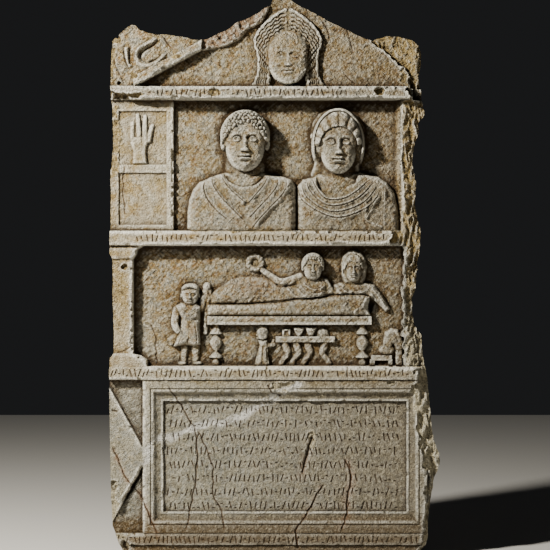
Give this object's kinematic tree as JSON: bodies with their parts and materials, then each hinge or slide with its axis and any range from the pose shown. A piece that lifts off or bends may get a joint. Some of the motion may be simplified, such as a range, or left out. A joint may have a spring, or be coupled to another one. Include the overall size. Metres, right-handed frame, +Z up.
{
  "type": "carved stone stele",
  "caption": "Upright stone grave stele with a broken gable, a niche of portrait busts, a banquet relief and a framed inscription panel.",
  "frame": {"origin": "centre of the underside", "axes": "+Z up, the carved front faces -Y, +X to the viewer's right"},
  "size_m": [0.996, 0.1948, 1.68],
  "materials": {
    "stone": "weathered, matt, with ochre patina"
  },
  "bodies": {
    "root": {"stele": "stone"}
  },
  "joints": []
}
